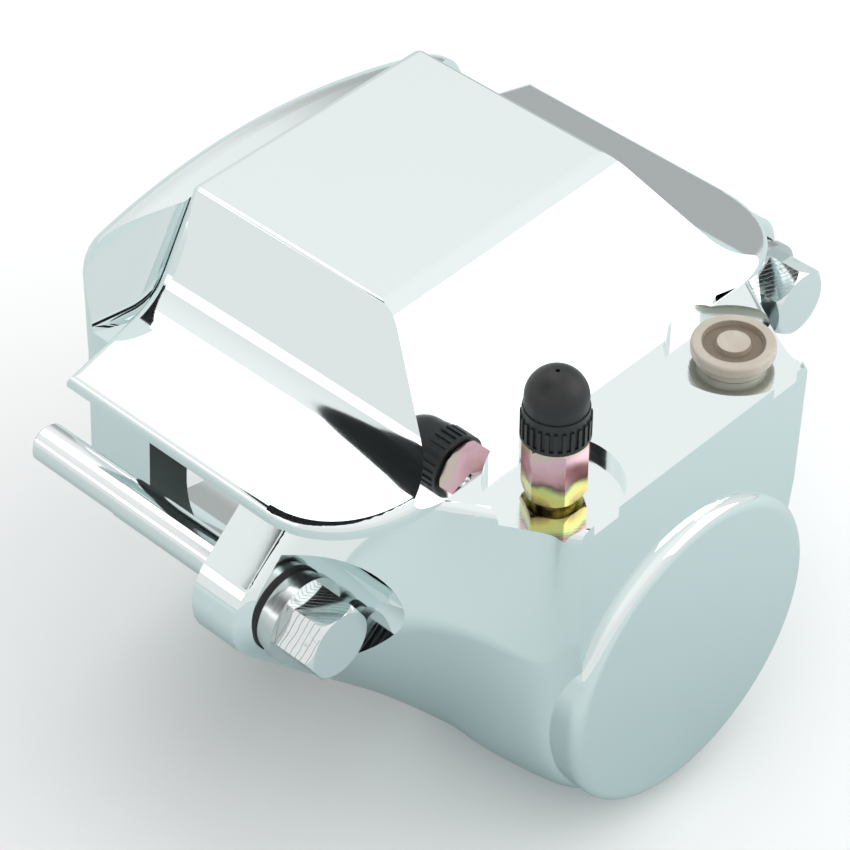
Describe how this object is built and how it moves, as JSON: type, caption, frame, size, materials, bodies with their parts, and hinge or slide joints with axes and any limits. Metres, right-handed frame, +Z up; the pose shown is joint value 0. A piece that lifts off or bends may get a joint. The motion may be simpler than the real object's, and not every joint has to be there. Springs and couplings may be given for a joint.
{
  "type": "brake caliper",
  "caption": "Chrome floating disc-brake caliper with one piston, two hexagon-headed guide pins, a capped bleeder screw and a plugged fluid port.",
  "frame": {"origin": "midway between the far ends of the two guide pins, on the line through both pin axes' end points", "axes": "+X across the caliper from pin to pin, +Y along the pins towards the wheel-side bracket, +Z up through the roof of the bridge"},
  "size_m": [0.1452, 0.1092, 0.1102],
  "materials": {
    "chrome_casting": "mirror chrome plate on cast aluminium",
    "pin_steel": "ground and polished steel",
    "sleeve_steel": "plated steel",
    "steel_piston": "ground and plated",
    "wire_steel": "spring steel",
    "phenolic": "moulded phenolic",
    "seal_rubber": "moulded rubber",
    "cap_rubber": "satin moulded rubber",
    "zinc_yellow": "iridescent yellow zinc passivate",
    "plug_plastic": "translucent tan moulded plastic"
  },
  "bodies": {
    "guide_pins": {"guide_pin_left": "pin_steel", "guide_pin_right": "pin_steel", "pin_washer_left": "pin_steel", "pin_washer_right": "pin_steel"},
    "housing": {"caliper_housing": "chrome_casting", "pin_bush_left": "seal_rubber", "pin_bush_right": "seal_rubber", "pin_sleeve_left": "sleeve_steel", "pin_sleeve_right": "sleeve_steel", "pin_wiper_left": "seal_rubber", "pin_wiper_right": "seal_rubber", "piston_seal": "seal_rubber", "piston_dust_boot": "seal_rubber", "boot_retaining_ring": "wire_steel", "pad_spring": "wire_steel"},
    "piston": {"piston": "steel_piston", "piston_insulator": "phenolic"},
    "bleeder_screw": {"bleeder_screw": "zinc_yellow"},
    "bleeder_cap": {"bleeder_cap": "cap_rubber"},
    "port_plug": {"port_plug": "plug_plastic"}
  },
  "joints": [
    {"name": "housing_float", "type": "slide", "parent": "guide_pins", "child": "housing", "axis": [0, 1, 0], "range_m": [0, 0.012]},
    {"name": "piston_stroke", "type": "slide", "parent": "housing", "child": "piston", "axis": [0, 1, 0], "range_m": [0, 0.016]},
    {"name": "bleeder_turn", "type": "hinge", "parent": "housing", "child": "bleeder_screw", "pos_m": [-0.0237, -0.0883, 0.0181], "axis": [0, 0, 1], "range_deg": [0, 360]},
    {"name": "cap_pull", "type": "slide", "parent": "bleeder_screw", "child": "bleeder_cap", "axis": [0, 0, 1], "range_m": [0, 0.014]},
    {"name": "plug_pull", "type": "slide", "parent": "housing", "child": "port_plug", "axis": [0, 0, 1], "range_m": [0, 0.014]}
  ]
}
